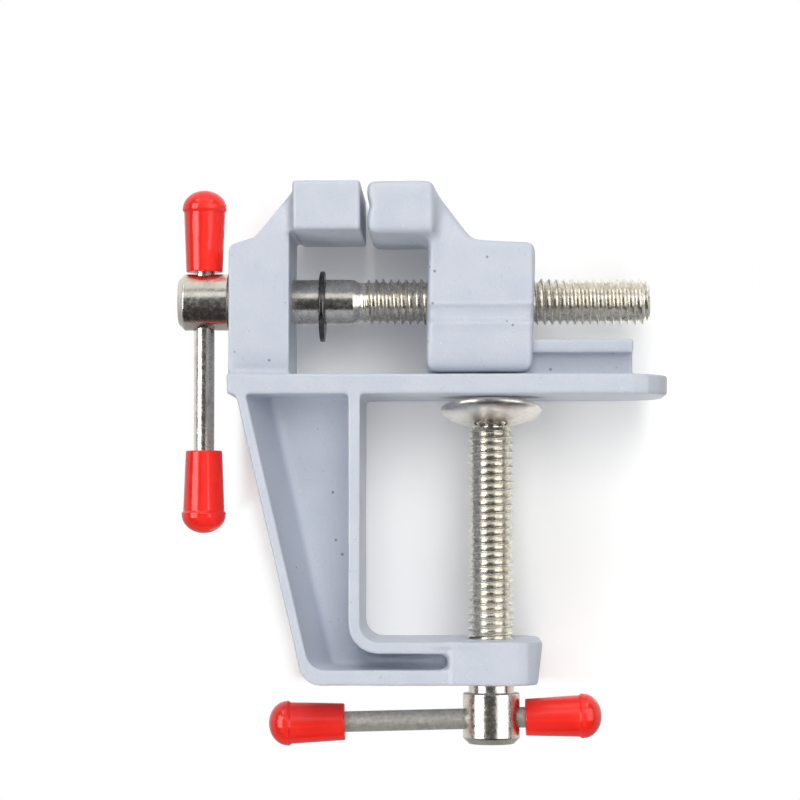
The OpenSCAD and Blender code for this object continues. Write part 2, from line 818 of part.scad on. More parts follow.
// The clamp screw: head, short shank and thread, then the neck and pin that hold the ball
module clamp_screw() {
    thread_z = clamp_shoulder_z + clamp_shank_len;
    pin_head_z = ball_high_z + bearing_gap;
    color(steel_colour) {
        translate([0, 0, clamp_shoulder_z]) {
            screw_head();
            translate([0, 0, -sink])
                cylinder(h = clamp_shank_len + sink, d = shank_d);
        }
        translate([0, 0, thread_z - sink])
            threaded_rod(clamp_thread_len + sink);
        along_z(clamp_thread_top_z - sink, ball_low_z - bearing_gap)
            circle(d = neck_d);
        along_z(clamp_thread_top_z - sink, pin_head_z + pin_head_t / 2)
            circle(d = pin_d);
        along_z(pin_head_z, pin_head_z + pin_head_t)
            circle(d = pin_head_d);
    }
}

// The ball that the pad swivels on. The screw's pin turns inside it
module swivel_ball() {
    color(steel_colour)
        translate([0, 0, ball_z])
            difference() {
                intersection() {
                    sphere(d = ball_d);
                    along_z(-ball_below, ball_above)
                        circle(d = ball_d + over);
                }
                along_z(-ball_d, ball_d)
                    circle(d = pin_d + 2 * bearing_gap);
            }
}

// The pad is a stamped dish, shown at its tilt about the ball's centre
module clamp_pad() {
    r = pad_d / 2;
    inner_r = r - pad_t;
    inner_depth = pad_depth - pad_t;
    color(steel_colour)
        translate([0, 0, ball_z])
            rotate([-pad_tilt, 0, 0])
                difference() {
                    rotate_extrude()
                        polygon([
                            for (a = [0:9:90])
                                [r * cos(a), pad_rim_rise - pad_depth * sin(a)],
                            for (a = [90:-9:0])
                                [inner_r * cos(a), pad_rim_rise - inner_depth * sin(a)]
                        ]);
                    sphere(d = ball_d + 4 * bearing_gap);
                }
}

// The clamp bar lies across the head, a little tilted in its loose hole. Along it, Z is
// turned so that it points right
module at_clamp_bar() {
    translate([0, 0, clamp_hole_z])
        rotate([0, 90 - clamp_bar_tilt, 0])
            children();
}

module clamp_bar() {
    at_clamp_bar()
        turning_bar(clamp_bar_out - clamp_bar_len, clamp_bar_out);
}

module clamp_bar_cap_left() {
    at_clamp_bar()
        translate([0, 0, clamp_bar_out - clamp_bar_len])
            rotate([180, 0, 0])
                end_cap(clamp_cap_len);
}

module clamp_bar_cap_right() {
    at_clamp_bar()
        translate([0, 0, clamp_bar_out])
            end_cap(clamp_cap_len);
}

frame();
moving_jaw();
jaw_screw();
thrust_washer();
retaining_ring();
jaw_bar();
jaw_bar_cap_top();
jaw_bar_cap_bottom();
clamp_screw();
swivel_ball();
clamp_pad();
clamp_bar();
clamp_bar_cap_left();
clamp_bar_cap_right();
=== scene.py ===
import math

import bmesh
import bpy
from mathutils import Matrix, Vector, noise


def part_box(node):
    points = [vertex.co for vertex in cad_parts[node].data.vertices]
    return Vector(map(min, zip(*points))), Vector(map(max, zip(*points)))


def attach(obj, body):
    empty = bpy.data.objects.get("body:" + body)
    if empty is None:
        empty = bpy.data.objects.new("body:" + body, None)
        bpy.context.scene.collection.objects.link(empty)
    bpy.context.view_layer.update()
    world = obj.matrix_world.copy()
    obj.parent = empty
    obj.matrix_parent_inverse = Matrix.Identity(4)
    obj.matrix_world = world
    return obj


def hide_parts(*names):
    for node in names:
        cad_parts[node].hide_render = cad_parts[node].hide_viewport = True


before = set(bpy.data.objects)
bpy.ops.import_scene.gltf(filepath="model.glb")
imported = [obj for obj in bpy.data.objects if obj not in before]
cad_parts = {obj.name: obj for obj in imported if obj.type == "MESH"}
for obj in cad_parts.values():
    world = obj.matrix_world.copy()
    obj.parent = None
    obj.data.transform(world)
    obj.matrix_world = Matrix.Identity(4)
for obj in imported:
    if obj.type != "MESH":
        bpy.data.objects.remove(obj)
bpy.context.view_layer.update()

# Profiles, places and outlines are written in millimetres, and meshes are scaled by this
MM = 0.001
TURN = 2 * math.pi
# Turns what is made along Z to point along X, and what points up to point down
ALONG_X = Matrix.Rotation(math.pi / 2, 4, "Y")
UPSIDE_DOWN = Matrix.Rotation(math.pi, 4, "X")

# The camera looks down on the vise, which lies on its back on a pale table
CAMERA_PLACE = Vector((-3.84, -469.0, -21.1)) * MM
CAMERA_TARGET = Vector((-15.1, 0.0, -0.4)) * MM
SENSOR_WIDTH = 36.0
FOCAL_LENGTH = 127.2

# Points nearer together than this are joined, and edges shorter than this are dissolved
MERGE_DISTANCE = 0.002
SLIVER_LENGTH = 0.0005
# Angle above which an edge is shaded sharp, in degrees, for each kind of piece
NO_CREASE = 180
CASTING_CREASE = 75
SCREW_CREASE = 66
CAP_CREASE = 60
SHEET_CREASE = 50
TURNED_CREASE = 40

# Castings
CASTING_VOXEL = 0.28 * MM
CASTING_SMOOTHING = 3
CASTING_FACES_KEPT = 0.35
# Share of the way to its neighbours' middle that a round of smoothing moves a point
SMOOTHING_FACTOR = 0.5
# Waviness of the cast faces: size of the waves and their height
CAST_WAVES = [(6.0 * MM, 0.045 * MM), (1.6 * MM, 0.014 * MM)]
# Rounding inside the leg's pockets, and where they are
POCKET_SMOOTHING = 110
POCKET_Y = (1.0, 14.3)
POCKET_TOP = -0.3
POCKET_BACK_X = -24.6
POCKET_INSET = 1.0
LEG_TOP = (-41.05, -0.9)
LEG_LEAN = 0.235
SLOT_Z = (-44.7, -41.5)
SLOT_END_X = -6.7
# Hollows on both sides of the ridge where the boss begins: start, bottom and end along X, and depth
BOSS_HOLLOWS = [((-10.5, -7.0, -6.4), -0.4), ((-6.0, -5.3, -2.0), -0.25)]
BOSS_RIDGE_Z = (-47.5, -41.0)
BOSS_RIDGE_BEHIND = 14.0
# Steps at the band along the moving jaw's sides: start, crest and end along Z, and height
JAW_STEPS = [
    ((14.2, 14.75, 15.3), 0.3), ((11.9, 12.6, 14.4), -0.5), ((10.2, 11.6, 12.1), 0.28),
]
JAW_SIDES_BEHIND = 9.0

# Turned pieces
ROUND_COLUMNS = 96
# A point nearer to the axis than this lies on it
ON_AXIS = 1e-6
# Angle that one facet of a small rounding turns through, in degrees, and the fewest facets
ROUNDING_STEP = 20
FEWEST_FACETS = 2
# Distance from an edge at which an extra ring holds a long face flat, and what counts as long
HOLD = 0.06
LONG_FACE = 5 * HOLD

# Both screws
THREAD_COLUMNS = 96
THREAD_ROWS = 10
THREAD_PITCH = 1.25
THREAD_RADIUS = 3.9
CORE_RADIUS = 3.15
# A flank rises between these shares of the way from the root to the crest
THREAD_FLANK = (0.06, 0.9)
# Turns in which the thread grows to its full depth
THREAD_RUN_IN = 1.2
THREAD_MERGE_DISTANCE = 0.004
# The chamfer at a screw's end starts this far below the core and grows this much per millimetre
CHAMFER_START = 0.15
CHAMFER_SLOPE = 1.0
SHANK_RADIUS = 3.75
HEAD_RADIUS = 4.7
HEAD_LENGTH = 8.4
HEAD_BEVEL = 1.0
# Roundings at the bevel's two edges and at the shoulder, and in the corner under the shoulder
HEAD_ROUNDINGS = (0.25, 0.3, 0.22)
HEAD_FILLET = 0.08
BAR_HOLE_RADIUS = 1.95

# Jaw screw, measured from its head's shoulder
JAW_SCREW_Z = 15.9
JAW_SHOULDER_X = -43.5
JAW_SHANK_LENGTH = 20.7
JAW_SHANK_ROUNDING = 0.3
JAW_THREAD_START = 21.9
JAW_SCREW_LENGTH = 69.8
# Width of the outer ring of its end face
JAW_END_RING = 0.1
RING_GROOVE = (15.05, 16.05)
RING_GROOVE_RADIUS = 3.1
RING_GROOVE_ROUNDING = 0.06

# Clamp screw, measured from its head's shoulder
CLAMP_SHOULDER_Z = -48.8
CLAMP_SHANK_LENGTH = 1.3
CLAMP_SHANK_ROUNDING = 0.2
CLAMP_THREAD_START = CLAMP_SHANK_LENGTH + 0.4
CLAMP_THREAD_TOP = 43.8
NECK_RADIUS = 2.08
NECK_TOP = 44.0
PIN_RADIUS = 1.6
PIN_HEAD = (46.75, 47.0)
PIN_HEAD_RADIUS = 2.2
PIN_HEAD_ROUNDING = 0.1

# Washer and snap ring
WASHER_X = -43.45
WASHER_RADII = (3.85, 5.3)
WASHER_THICKNESS = 0.6
WASHER_ROUNDING = 0.15
RING_X = -28.4
RING_RADII = (3.15, 5.9)
RING_THICKNESS = 0.9
RING_MOUTH = 5.0
RING_ROUNDING = 0.3
RING_ROUNDING_STEPS = 4
# Shape of a bevel, where this is a round one
ROUND_BEVEL = 0.5
# How far the ring's outer edge hangs lower than its inner one
RING_DROP = 0.75

# Bars and their caps
BAR_RADIUS = 1.7
BAR_ROUNDING = 0.3
JAW_BAR_X = -47.7
CLAMP_BAR_Z = -53.0
CLAMP_BAR_TILT = 1.5
CLAMP_BAR_ENDS = (-36.8, 18.2)
CLAMP_CAP_LENGTH = 12.6
CAP_HOLE_RADIUS = 1.72
CAP_END = 2.6
CAP_RADIUS = 3.7
CAP_MOUTH_RADIUS = 3.03
CAP_MOUTH_ROUNDINGS = (0.15, 0.25)
CAP_BODY_RADIUS = 3.43
CAP_BODY_ROUNDING = 0.3
# Distances below the dome's foot at which the body ends and the ridge begins
CAP_BODY_BELOW = 0.6
CAP_RIDGE_BELOW = 0.25
# The ridge's height over the dome, how much narrower it begins, and its rounding
CAP_RIDGE = 0.05
CAP_RIDGE_FOOT = 0.06
CAP_RIDGE_ROUNDING = 0.08
# The dome's height, how much narrower than the cap it is, and its angles in degrees
CAP_DOME = 3.1
CAP_DOME_INSET = 0.02
CAP_DOME_ARC = (8, 84)
CAP_DOME_STEPS = 14

# Swivel ball and pad, measured from the ball's centre
AT_BALL = Matrix.Translation((0, 0, -2.45))
BALL_RADIUS = 3.1
BALL_HEIGHTS = (-2.3, 0.35)
BALL_HOLE_RADIUS = 1.65
BALL_STEPS = 12
PAD_RADIUS = 8.4
PAD_SHEET = 0.8
PAD_BOTTOM = -2.1
PAD_RIM = 0.8
PAD_TILT = 10.3
PAD_HOLE_RADIUS = 2.7
PAD_STEPS = 24
PAD_RIM_STEPS = 8

# Lamps for matt faces and lamps that only shiny faces mirror: degrees to the right of the camera,
# degrees above it, width, height and watts
LAMP_DISTANCE = 0.6
LAMPS = {
    "lamp_front": (6, 14, 0.4, 0.3, 1.15),
    "lamp_key": (14, 27, 0.45, 0.42, 0.78),
    "lamp_over": (0, 62, 0.5, 0.4, 1.67),
    "lamp_low": (5, -22, 0.3, 0.3, 0.59),
    "lamp_low_left": (-35, -30, 0.3, 0.3, 0.81),
    "lamp_under": (0, -58, 0.5, 0.4, 0.99),
    "lamp_behind_left": (-150, 30, 0.5, 0.5, 0.74),
    "lamp_behind_right": (150, 10, 0.5, 0.5, 0.62),
}
GLEAMS = {
    "gleam_over": (0, 62, 0.8, 0.3, 1.9),
    "gleam_front": (0, 30, 0.9, 0.25, 0.6),
    "gleam_left": (-50, 5, 0.36, 0.6, 3.0),
    "gleam_right": (48, 5, 0.55, 0.6, 2.0),
    "gleam_behind_left": (-150, 30, 0.5, 0.5, 1.2),
    "gleam_behind_right": (150, 10, 0.5, 0.5, 1.0),
}
# Light from all round, on the camera's side and on the table's side, for matt and for shiny faces
SKY_MATT = (0.02, 0.43)
SKY_SHINY = (0.09, 0.95)
# Half the width of the border between the two sides, where a direction is 1 long
SKY_MATT_BORDER = 0.1
SKY_SHINY_BORDER = 0.06
# What shiny faces mirror from overhead and, as a share, from below
SKY_OVERHEAD = 0.85
SKY_BELOW = 0.4
# Heights of direction, from -1 straight down to 1 straight up, between which each of them sets in
SKY_OVERHEAD_HEIGHTS = (0.7, 0.85)
SKY_BELOW_HEIGHTS = (-0.5, 0.1)
# The white table: its edges, its distance behind the middle plane and how wide its edges fade
TABLE_X = (-43.9, 45.0)
TABLE_Z = (-48.2, 40.0)
TABLE_Y = 15.15
TABLE_FADE = 5.0
TABLE_FADE_LEFT = 2.5
TABLE_FADE_BELOW = 2.0
# Below this height the table fades along the leg, through this place and with this lean
TABLE_CORNER_Z = -19.0
TABLE_LEG_EDGE = (-41.6, -20.2)
TABLE_LEG_LEAN = 0.253
TABLE_COLOUR = (0.88, 0.88, 0.87)
# How much whiter the camera and shiny faces see the table, so that it is white in plain lamplight
TABLE_WHITER = 1.34
WHITE = (1, 1, 1, 1)

# Materials
# Noise lies mostly between these two numbers
NOISE_RANGE = (0.3, 0.7)
# Share of a spot's radius from which it fades
SPOT_FADES_FROM = 0.6
# Dark specks in the castings: their spacing and radius. Between these distances from the middle
# plane they fade to a share, so that they lie mostly behind the rims
SPECK_SPACING = 3.1
SPECK_RADIUS = 0.3
SPECKS_BEHIND = (13.0 * MM, 14.0 * MM)
SPECKS_OUTSIDE = 0.2


# Profiles and meshes


def rounded(corners):
    """A profile of (radius, height) points. A corner with a third number gets that rounding."""
    points = []
    for k, corner in enumerate(corners):
        tip = Vector(corner[:2])
        if len(corner) == 2:
            points.append(tip)
            continue
        back = (Vector(corners[k - 1][:2]) - tip).normalized()
        ahead = (Vector(corners[(k + 1) % len(corners)][:2]) - tip).normalized()
        half = back.angle(ahead) / 2
        centre = tip + (back + ahead).normalized() * corner[2] / math.sin(half)
        start = tip + back * corner[2] / math.tan(half) - centre
        turn = math.copysign(math.pi - 2 * half, -back.cross(ahead))
        steps = max(FEWEST_FACETS, round(math.degrees(abs(turn)) / ROUNDING_STEP))
        for step in range(steps + 1):
            points.append(centre + Matrix.Rotation(turn * step / steps, 2) @ start)
    return points


def ellipse(centre, radii, start, end, steps):
    """Points of an ellipse round (radius, height) centre, from one angle to another in degrees."""
    points = []
    for step in range(steps + 1):
        angle = math.radians(start + (end - start) * step / steps)
        across, up = radii[0] * math.cos(angle), radii[1] * math.sin(angle)
        points.append(Vector((centre[0] + across, centre[1] + up)))
    return points


def held(points, closed=False):
    """The same profile with extra points near the ends of long faces, so that they shade flat."""
    result = []
    following = points[1:] + points[:1] if closed else points[1:]
    for point, after in zip(points, following):
        result.append(point)
        length = (after - point).length
        if length > LONG_FACE:
            step = (after - point) * HOLD / length
            result += [point + step, after - step]
    return result if closed else result + [points[-1]]


def lathe(profile, closed=False, columns=ROUND_COLUMNS):
    """A mesh turned about Z. The profile ends on the axis or at open rims, or is closed."""
    bm = bmesh.new()
    rings = []
    angles = [TURN * k / columns for k in range(columns)]
    for radius, height in held([Vector(p) for p in profile], closed):
        if radius < ON_AXIS:
            rings.append([bm.verts.new((0, 0, height))])
            continue
        places = [(radius * math.cos(a), radius * math.sin(a), height) for a in angles]
        rings.append([bm.verts.new(place) for place in places])
    pairs = list(zip(rings, rings[1:]))
    if closed:
        pairs.append((rings[-1], rings[0]))
    for low, high in pairs:
        for k in range(columns):
            corners = [
                low[k % len(low)], low[(k + 1) % len(low)],
                high[(k + 1) % len(high)], high[k % len(high)],
            ]
            bm.faces.new(list(dict.fromkeys(corners)))
    return bm


def finished_mesh(bm, name, place):
    """A closed mesh in metres, at its place, with its faces outwards."""
    bmesh.ops.remove_doubles(bm, verts=bm.verts, dist=MERGE_DISTANCE)
    bmesh.ops.dissolve_degenerate(bm, edges=bm.edges, dist=SLIVER_LENGTH)
    bmesh.ops.recalc_face_normals(bm, faces=bm.faces)
    bmesh.ops.transform(bm, matrix=Matrix.Scale(MM, 4) @ place, verts=bm.verts)
    return plain_mesh(bm, name)


def plain_mesh(bm, name):
    """A mesh from a bmesh, which is freed."""
    mesh = bpy.data.meshes.new(name)
    bm.to_mesh(mesh)
    bm.free()
    return mesh


def linked(name, data):
    """A new object in the scene."""
    item = bpy.data.objects.new(name, data)
    bpy.context.collection.objects.link(item)
    return item


def show(mesh, name, material, crease):
    """An object for a mesh, smooth apart from edges sharper than crease degrees."""
    mesh.shade_smooth()
    mesh.set_sharp_from_angle(angle=math.radians(crease))
    mesh.materials.clear()
    mesh.materials.append(material)
    return linked(name, mesh)


def evaluated_mesh(piece):
    """The plain mesh that a piece's modifiers give. The piece itself is removed."""
    seen = piece.evaluated_get(bpy.context.evaluated_depsgraph_get())
    mesh = bpy.data.meshes.new_from_object(seen)
    bpy.data.objects.remove(piece)
    return mesh


def stands_for(piece, node, body):
    """Makes a piece stand for a CAD node: puts it on its body and hides the node."""
    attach(piece, body)
    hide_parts(node)


def turned(profile, node, body, material, place, closed=False, crease=TURNED_CREASE):
    """A lathed piece that stands for a CAD node."""
    mesh = finished_mesh(lathe(profile, closed), node, place)
    stands_for(show(mesh, node + "_turned", material, crease), node, body)


# Castings: the frame and the moving jaw, with the soft edges and slight waves that a mould leaves


def waved(mesh):
    """Moves the points of a mesh along their normals by smooth noise."""
    normals = [vertex.normal.copy() for vertex in mesh.vertices]
    for vertex, normal in zip(mesh.vertices, normals):
        height = sum(noise.noise(vertex.co / size) * lift for size, lift in CAST_WAVES)
        vertex.co += normal * height


def hill(at, start, top, end):
    """From 0 at start up to 1 at top and down to 0 at end."""
    return max(0.0, min((at - start) / (top - start), (end - at) / (end - top)))


def frame_relief(place):
    """Shallow hollows in the lower arm's sides, with a ridge between them where the boss begins."""
    low, high = BOSS_RIDGE_Z
    if abs(place.y) < BOSS_RIDGE_BEHIND or not low < place.z < high:
        return 0.0
    return sum(depth * hill(place.x, *stretch) for stretch, depth in BOSS_HOLLOWS)


def jaw_relief(place):
    """The raised edges of the band along the moving jaw's sides, and its sloping floor."""
    if abs(place.y) < JAW_SIDES_BEHIND:
        return 0.0
    return sum(height * hill(place.z, *heights) for heights, height in JAW_STEPS)


def in_pocket(place):
    """Whether a place lies in the leg's pockets or the lower arm's slots, behind their rims."""
    if not POCKET_Y[0] < abs(place.y) < POCKET_Y[1] or place.z > POCKET_TOP:
        return False
    outer = LEG_TOP[0] + LEG_LEAN * (LEG_TOP[1] - place.z) + POCKET_INSET
    in_leg = outer < place.x < POCKET_BACK_X
    in_slot = SLOT_Z[0] < place.z < SLOT_Z[1] and place.x < SLOT_END_X
    return in_leg or in_slot


def smoothing(block, name, rounds):
    """A smoothing modifier on a block."""
    soften = block.modifiers.new(name, "SMOOTH")
    soften.factor = SMOOTHING_FACTOR
    soften.iterations = rounds
    return soften


def softened(mesh):
    """Rounds the corners inside the leg's pockets further."""
    block = linked("pocket_block", mesh)
    pocket = block.vertex_groups.new(name="pocket")
    inside = [vertex.index for vertex in mesh.vertices if in_pocket(vertex.co / MM)]
    pocket.add(inside, 1.0, "REPLACE")
    smoothing(block, "soft_pocket", POCKET_SMOOTHING).vertex_group = "pocket"
    return evaluated_mesh(block)


def rounded_copy(node):
    """A copy of a CAD node's mesh, joined, remeshed evenly and smoothed a little."""
    bm = bmesh.new()
    bm.from_mesh(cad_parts[node].data)
    bmesh.ops.remove_doubles(bm, verts=bm.verts, dist=MERGE_DISTANCE * MM)
    block = linked(node + "_block", plain_mesh(bm, node))
    voxels = block.modifiers.new("voxels", "REMESH")
    voxels.mode = "VOXEL"
    voxels.voxel_size = CASTING_VOXEL
    smoothing(block, "soft_edges", CASTING_SMOOTHING)
    return evaluated_mesh(block)


def casting(node, material, relief_of):
    """A casting with rounded edges, its relief on both sides and its waves."""
    mesh = softened(rounded_copy(node))
    for vertex in mesh.vertices:
        vertex.co.y += relief_of(vertex.co / MM) * math.copysign(MM, vertex.co.y)
    waved(mesh)
    whole = show(mesh, node + "_whole", material, CASTING_CREASE)
    thin = whole.modifiers.new("fewer_faces", "DECIMATE")
    thin.ratio = CASTING_FACES_KEPT
    piece = show(evaluated_mesh(whole), node + "_casting", material, CASTING_CREASE)
    stands_for(piece, node, node)


# Threads: one helical strip a turn high, which meets itself a turn higher


class Tree:
    """Adds nodes to a tree. Numbers and sockets are given alike."""

    def __init__(self, tree):
        self.tree = tree

    def node(self, kind, values=(), **settings):
        """A new node with its settings, and its inputs by index or name."""
        made = self.tree.nodes.new(kind)
        for name, value in settings.items():
            setattr(made, name, value)
        for index, value in dict(values).items():
            if isinstance(value, bpy.types.NodeSocket):
                self.tree.links.new(value, made.inputs[index])
            else:
                made.inputs[index].default_value = value
        return made

    def math(self, operation, first, second=0.0):
        """One step of arithmetic."""
        return self.node("ShaderNodeMath", {0: first, 1: second}, operation=operation).outputs[0]

    def remap(self, value, low, high, to_low=0.0, to_high=1.0, kind="LINEAR"):
        """Value from low to high becomes to_low to to_high, and stays there outside."""
        numbers = {0: value, 1: low, 2: high, 3: to_low, 4: to_high}
        return self.node("ShaderNodeMapRange", numbers, interpolation_type=kind).outputs[0]


def thread_inputs(tree):
    """Gives the thread's tree its inputs and output. Returns the inputs' identifiers by name."""
    numbers = [(name, "Float") for name in ("Length", "Pitch", "Core", "Depth", "Chamfer")]
    counts = [(name, "Int") for name in ("Turns", "Columns", "Rows")]
    made = {}
    for name, kind in numbers + counts:
        kind = "NodeSocket" + kind
        made[name] = tree.interface.new_socket(name, in_out="INPUT", socket_type=kind).identifier
    tree.interface.new_socket("Geometry", in_out="OUTPUT", socket_type="NodeSocketGeometry")
    return made


def thread_radius(t, given, share, z):
    """The thread's distance from its axis, from the share of a turn's height and the height."""
    doubled = t.math("SUBTRACT", t.math("MULTIPLY", share, 2), 1)
    wave = t.math("SUBTRACT", 1.0, t.math("ABSOLUTE", doubled))
    crest = t.remap(wave, *THREAD_FLANK)
    growth = t.remap(z, 0.0, t.math("MULTIPLY", given["Pitch"], THREAD_RUN_IN))
    ridge = t.math("MULTIPLY", t.math("MULTIPLY", crest, given["Depth"]), growth)
    end_radius = t.math("SUBTRACT", given["Core"], CHAMFER_START)
    chamfer = t.math("MULTIPLY", t.math("SUBTRACT", given["Length"], z), given["Chamfer"])
    limit = t.math("ADD", end_radius, chamfer)
    return t.math("MINIMUM", t.math("ADD", given["Core"], ridge), limit)


def thread_tree(material):
    """Geometry nodes that wind a thread along Z from 0 to Length, and their inputs."""
    tree = bpy.data.node_groups.new("screw_thread", "GeometryNodeTree")
    inputs = thread_inputs(tree)
    t = Tree(tree)
    given = t.node("NodeGroupInput").outputs
    across = t.math("ADD", t.math("MULTIPLY", given["Turns"], given["Columns"]), 1)
    up = t.math("ADD", given["Rows"], 1)
    grid = t.node("GeometryNodeMeshGrid", {0: given["Turns"], 1: 1.0, 2: across, 3: up})
    position = t.node("GeometryNodeInputPosition").outputs[0]
    place = t.node("ShaderNodeSeparateXYZ", {0: position}).outputs
    turn = t.math("ADD", place[0], t.math("MULTIPLY", given["Turns"], 0.5))
    share = t.math("ADD", place[1], 0.5)
    turns_up = t.math("ADD", t.math("SUBTRACT", turn, 1), share)
    free_z = t.math("MULTIPLY", turns_up, given["Pitch"])
    z = t.math("MAXIMUM", 0.0, t.math("MINIMUM", free_z, given["Length"]))
    radius = thread_radius(t, given, share, z)
    angle = t.math("MULTIPLY", turn, TURN)
    point = t.node("ShaderNodeCombineXYZ", {
        0: t.math("MULTIPLY", t.math("COSINE", angle), radius),
        1: t.math("MULTIPLY", t.math("SINE", angle), radius),
        2: z,
    })
    wound = t.node("GeometryNodeSetPosition", {
        "Geometry": grid.outputs["Mesh"], "Position": point.outputs[0],
    })
    merged = t.node("GeometryNodeMergeByDistance", {
        "Geometry": wound.outputs[0], "Distance": THREAD_MERGE_DISTANCE,
    })
    real = t.node("GeometryNodeRealizeInstances", {0: merged.outputs[0]})
    painted = t.node("GeometryNodeSetMaterial", {
        "Geometry": real.outputs[0], "Material": material,
    })
    t.node("NodeGroupOutput", {0: painted.outputs[0]})
    return tree, inputs


def thread_mesh(length, material):
    """A thread of that length in millimetres, open at both ends."""
    tree, inputs = thread_tree(material)
    strip = linked("thread_strip", bpy.data.meshes.new("thread_strip"))
    modifier = strip.modifiers.new("thread", "NODES")
    modifier.node_group = tree
    values = {
        "Length": length, "Pitch": THREAD_PITCH,
        "Core": CORE_RADIUS, "Depth": THREAD_RADIUS - CORE_RADIUS, "Chamfer": CHAMFER_SLOPE,
        "Turns": math.ceil(length / THREAD_PITCH) + 1,
        "Columns": THREAD_COLUMNS, "Rows": THREAD_ROWS,
    }
    for name, value in values.items():
        modifier[inputs[name]] = value
    return evaluated_mesh(strip)


def drilled(blank, place, material):
    """The mesh of a screw's blank with the cross hole for its bar."""
    reach = 2 * HEAD_RADIUS
    drill = lathe([(0, -reach), (BAR_HOLE_RADIUS, -reach), (BAR_HOLE_RADIUS, reach), (0, reach)])
    along_hole = Matrix.Translation((0, 0, -HEAD_LENGTH / 2)) @ ALONG_X
    mesh = finished_mesh(drill, "drill", place @ along_hole)
    cutter = show(mesh, "drill", material, NO_CREASE)
    cut = blank.modifiers.new("cross_hole", "BOOLEAN")
    cut.operation = "DIFFERENCE"
    cut.solver = "EXACT"
    cut.object = cutter
    mesh = evaluated_mesh(blank)
    bpy.data.objects.remove(cutter)
    return mesh


def screw(node, place, head_and_shank, thread_start, thread_end, tip, materials):
    """A screw: a lathed head and shank, the thread, and a lathed tip, in one closed mesh.

    Materials are one for the turned faces and one for the rolled thread.
    """
    material, rolled = materials
    bm = lathe(head_and_shank, columns=THREAD_COLUMNS)
    bm.from_mesh(plain_mesh(lathe(tip, columns=THREAD_COLUMNS), "tip"))
    thread = thread_mesh(thread_end - thread_start, material)
    thread.transform(Matrix.Translation((0, 0, thread_start)))
    bm.from_mesh(thread)
    mesh = finished_mesh(bm, node, place)
    blank = show(mesh, node + "_blank", material, NO_CREASE)
    mesh = drilled(blank, place, material)
    piece = show(mesh, node + "_threaded", material, SCREW_CREASE)
    mesh.materials.append(rolled)
    back = place.inverted()
    for face in mesh.polygons:
        if thread_start < (back @ (face.center / MM)).z < thread_end:
            face.material_index = 1
    stands_for(piece, node, node)


def head_profile():
    """The head of either screw, from its end up to its shoulder at 0."""
    inner, outer, shoulder = HEAD_ROUNDINGS
    return [
        (0, -HEAD_LENGTH), (HEAD_RADIUS - HEAD_BEVEL, -HEAD_LENGTH, inner),
        (HEAD_RADIUS, -HEAD_LENGTH + HEAD_BEVEL, outer), (HEAD_RADIUS, 0, shoulder),
        (SHANK_RADIUS, 0, HEAD_FILLET),
    ]


def jaw_screw(materials):
    """The long screw that drives the moving jaw."""
    low, high = RING_GROOVE
    profile = rounded(head_profile() + [
        (SHANK_RADIUS, low, RING_GROOVE_ROUNDING), (RING_GROOVE_RADIUS, low),
        (RING_GROOVE_RADIUS, high), (SHANK_RADIUS, high, RING_GROOVE_ROUNDING),
        (SHANK_RADIUS, JAW_SHANK_LENGTH, JAW_SHANK_ROUNDING), (CORE_RADIUS, JAW_THREAD_START),
    ])
    end, end_radius = JAW_SCREW_LENGTH, CORE_RADIUS - CHAMFER_START
    tip = rounded([(end_radius, end), (end_radius - JAW_END_RING, end), (0, end)])
    place = Matrix.Translation((JAW_SHOULDER_X, 0, JAW_SCREW_Z)) @ ALONG_X
    screw("jaw_screw", place, profile, JAW_THREAD_START, end, tip, materials)


def clamp_screw(materials):
    """The upright screw, with the pin that holds the swivel ball."""
    profile = rounded(head_profile() + [
        (SHANK_RADIUS, CLAMP_SHANK_LENGTH, CLAMP_SHANK_ROUNDING),
        (CORE_RADIUS, CLAMP_THREAD_START),
    ])
    top = CLAMP_THREAD_TOP
    pin_end, pin_top = PIN_HEAD
    tip = rounded([
        (CORE_RADIUS - CHAMFER_START, top), (NECK_RADIUS, top), (NECK_RADIUS, NECK_TOP),
        (PIN_RADIUS, NECK_TOP), (PIN_RADIUS, pin_end), (PIN_HEAD_RADIUS, pin_end),
        (PIN_HEAD_RADIUS, pin_top, PIN_HEAD_ROUNDING), (0, pin_top),
    ])
    place = Matrix.Translation((0, 0, CLAMP_SHOULDER_Z))
    screw("clamp_screw", place, profile, CLAMP_THREAD_START, top, tip, materials)


# Washer and snap ring on the jaw screw


def washer(material):
    """The thin washer under the jaw screw's head."""
    (inner, outer), thick = WASHER_RADII, WASHER_THICKNESS
    profile = rounded([
        (inner, 0), (outer, 0, WASHER_ROUNDING), (outer, thick, WASHER_ROUNDING), (inner, thick),
    ])
    place = Matrix.Translation((WASHER_X, 0, JAW_SCREW_Z)) @ ALONG_X
    turned(profile, "thrust_washer", "jaw_screw", material, place, closed=True)


def ring_outline():
    """The snap ring's outline as (y, z) points, open at the back."""
    inner, outer = RING_RADII
    outline = []
    for radius, drop, way in ((outer, RING_DROP, 1), (inner, 0, -1)):
        start = math.asin((RING_MOUTH / 2 + drop) / radius)
        end = TURN - math.asin((RING_MOUTH / 2 - drop) / radius)
        angles = [start + (end - start) * k / ROUND_COLUMNS for k in range(ROUND_COLUMNS + 1)]
        outline += [(radius * math.cos(a), radius * math.sin(a) - drop) for a in angles[::way]]
    return outline


